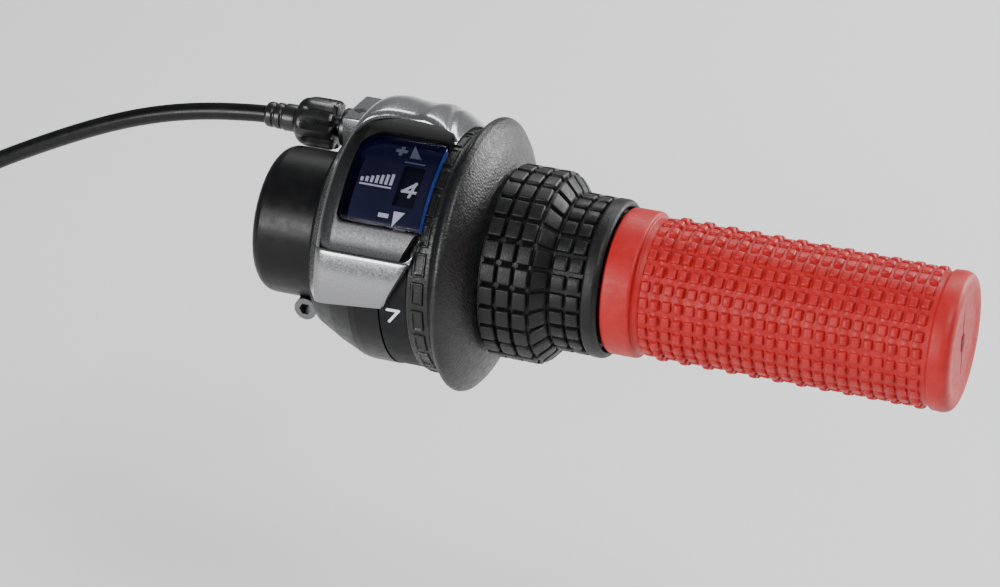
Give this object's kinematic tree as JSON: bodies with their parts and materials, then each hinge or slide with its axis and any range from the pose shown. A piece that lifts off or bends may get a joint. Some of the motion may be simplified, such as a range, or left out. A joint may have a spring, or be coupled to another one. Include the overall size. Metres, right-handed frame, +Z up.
{
  "type": "twist grip shifter",
  "caption": "Right-hand bicycle twist grip shifter with a gear window, flanged block-pattern rubber grip, barrel adjuster, outer casing and ribbed end grip.",
  "frame": {"origin": "centre of the split clamp collar, on the handlebar's axis", "axes": "+X along the bar towards its end, +Y forward (away from the rider), +Z up"},
  "size_m": [0.2882, 0.0613, 0.1575],
  "materials": {
    "black_plastic": "fine moulded texture, satin",
    "ring_plastic": "smooth satin",
    "silver_plastic": "silver paint on plastic, satin",
    "grey_metallic": "dark grey metallic lacquer",
    "blue_lens": "clear tinted plastic, polished",
    "display_print": "printed panel",
    "black_rubber": "fine grained",
    "red_rubber": "satin soft rubber",
    "knob_plastic": "satin",
    "gear_plastic": "natural nylon",
    "bright_steel": "zinc plated",
    "dark_steel": "oiled spring steel",
    "wire_steel": "drawn stranded wire",
    "casing_black": "smooth jacket",
    "bright_alloy": "drawn"
  },
  "bodies": {
    "housing": {"base_housing": "black_plastic", "clamp_bolt": "bright_steel", "clamp_nut": "bright_steel", "top_cover": "silver_plastic", "window_bezel": "grey_metallic", "window_lens": "blue_lens", "display_panel": "display_print", "cover_screws": "dark_steel", "ring_gear": "gear_plastic", "cable_guide": "gear_plastic", "detent_spring": "bright_steel", "retaining_washer": "bright_steel", "retaining_clip": "dark_steel", "end_grip": "red_rubber", "inner_wire": "wire_steel"},
    "twist": {"twist_sleeve": "black_plastic", "sun_gear": "gear_plastic", "detent_ring": "dark_steel", "number_ring": "ring_plastic", "grip_rubber": "black_rubber"},
    "reel": {"cable_reel": "gear_plastic", "planet_pins": "bright_steel", "reel_wire": "wire_steel", "wire_head": "wire_steel"},
    "planet_1": {"planet_gear_1": "gear_plastic"},
    "planet_2": {"planet_gear_2": "gear_plastic"},
    "planet_3": {"planet_gear_3": "gear_plastic"},
    "planet_4": {"planet_gear_4": "gear_plastic"},
    "carriage": {"casing_ferrule": "knob_plastic", "outer_casing": "casing_black", "casing_coil": "casing_black", "casing_tail": "casing_black", "coil_tie": "knob_plastic", "end_ferrule": "bright_alloy"},
    "adjuster": {"adjuster_knob": "knob_plastic", "adjuster_stem": "bright_steel"},
    "tail": {"wire_tail": "wire_steel", "wire_end_cap": "bright_alloy"}
  },
  "joints": [
    {"name": "twist_turn", "type": "hinge", "parent": "housing", "child": "twist", "pos_m": [0, 0, 0], "axis": [1, 0, 0], "range_deg": [-61.5, 61.5], "deforming": ["detent_spring"]},
    {"name": "reel_turn", "type": "hinge", "parent": "housing", "child": "reel", "pos_m": [0, 0, 0], "axis": [1, 0, 0], "range_deg": [-26.2, 26.2]},
    {"name": "knob_turn", "type": "hinge", "parent": "carriage", "child": "adjuster", "pos_m": [0, 0.015, 0.0168], "axis": [1, 0, 0], "range_deg": [-545, 545]},
    {"name": "carriage_slide", "type": "slide", "parent": "housing", "child": "carriage", "axis": [1, 0, 0], "range_m": [-0.0012, 0.0012]},
    {"name": "wire_slide", "type": "slide", "parent": "carriage", "child": "tail", "axis": [0, 0, 1], "range_m": [-0.0091, 0.0091]},
    {"name": "planet_1_turn", "type": "hinge", "parent": "reel", "child": "planet_1", "pos_m": [0, 0, 0.0198], "axis": [1, 0, 0], "range_deg": [-200, 200]},
    {"name": "planet_2_turn", "type": "hinge", "parent": "reel", "child": "planet_2", "pos_m": [0, -0.0198, 0], "axis": [1, 0, 0], "range_deg": [-200, 200]},
    {"name": "planet_3_turn", "type": "hinge", "parent": "reel", "child": "planet_3", "pos_m": [0, 0, -0.0198], "axis": [1, 0, 0], "range_deg": [-200, 200]},
    {"name": "planet_4_turn", "type": "hinge", "parent": "reel", "child": "planet_4", "pos_m": [0, 0.0198, 0], "axis": [1, 0, 0], "range_deg": [-200, 200]}
  ],
  "couplings": [
    {"joint": "reel_turn", "follows": "twist_turn", "ratio": 0.42424},
    {"joint": "planet_1_turn", "follows": "twist_turn", "ratio": -3.2242},
    {"joint": "planet_2_turn", "follows": "twist_turn", "ratio": -3.2242},
    {"joint": "planet_3_turn", "follows": "twist_turn", "ratio": -3.2242},
    {"joint": "planet_4_turn", "follows": "twist_turn", "ratio": -3.2242},
    {"joint": "wire_slide", "follows": "twist_turn", "m_per_rad": 0.0083873},
    {"joint": "knob_turn", "follows": "carriage_slide", "rad_per_m": 7854}
  ]
}
